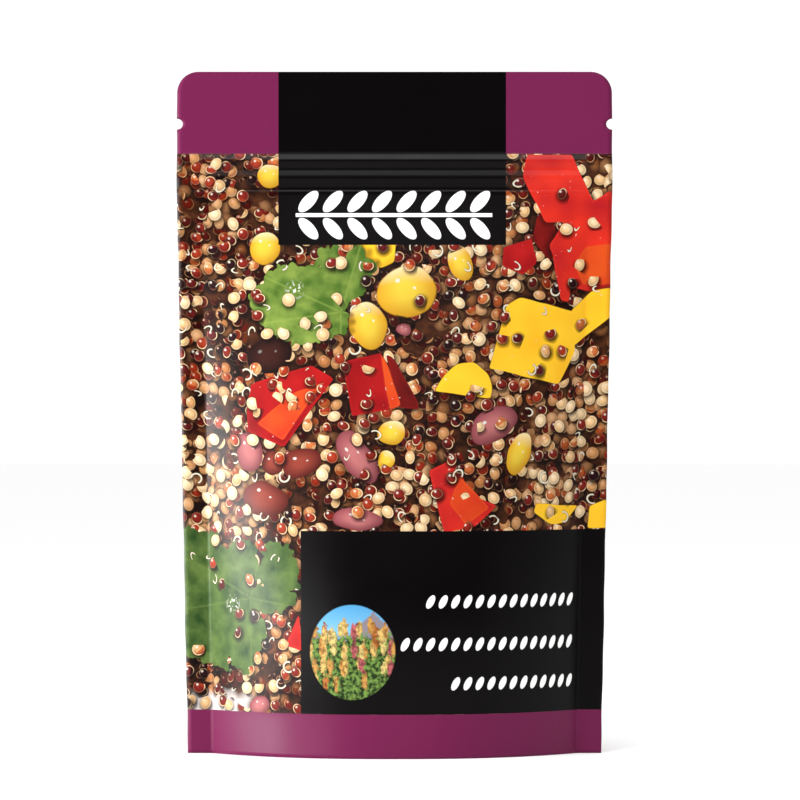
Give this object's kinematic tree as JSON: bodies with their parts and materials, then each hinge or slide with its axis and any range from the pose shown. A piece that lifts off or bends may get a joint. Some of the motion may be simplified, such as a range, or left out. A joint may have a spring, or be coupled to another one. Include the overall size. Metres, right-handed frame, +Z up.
{
  "type": "stand-up pouch of quinoa",
  "caption": "Filled stand-up food pouch of printed film, with flat side seals, a press-to-close zip below a flat header, tear notches and a gusseted base it stands on.",
  "frame": {"origin": "on the floor, at the middle of the pouch's base", "axes": "+Z up the pouch, X across its width from seal to seal, front with the printed panel towards -Y"},
  "size_m": [0.16, 0.068, 0.25],
  "materials": {
    "printed_film": "satin printed film: purple bands at the top and foot, a black panel and a picture of mixed grains between them"
  },
  "bodies": {
    "root": {"pouch": "printed_film"}
  },
  "joints": []
}
